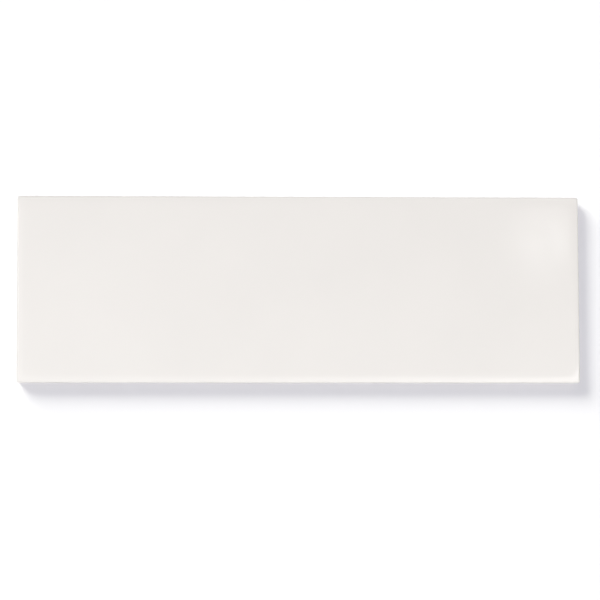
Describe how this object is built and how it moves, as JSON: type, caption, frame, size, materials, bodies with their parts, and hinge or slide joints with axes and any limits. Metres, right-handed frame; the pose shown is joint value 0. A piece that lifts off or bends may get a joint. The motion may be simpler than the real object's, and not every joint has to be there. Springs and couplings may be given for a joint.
{
  "type": "subway wall tile",
  "caption": "Long glazed ceramic wall tile with a flat glossy face, softly rolled edges, sides that taper in below and a keyed back for adhesive.",
  "frame": {"origin": "on the back plane, under the middle of the face", "axes": "+X along the tile's length, +Y across its width, +Z out of the glazed face, up when it lies on its back"},
  "size_m": [0.3, 0.1, 0.008],
  "materials": {
    "glazed_ceramic": "glossy warm white glaze on the face and over its rolled edge, bare off-white biscuit on the lower sides and the back"
  },
  "bodies": {
    "root": {"subway_tile": "glazed_ceramic"}
  },
  "joints": []
}
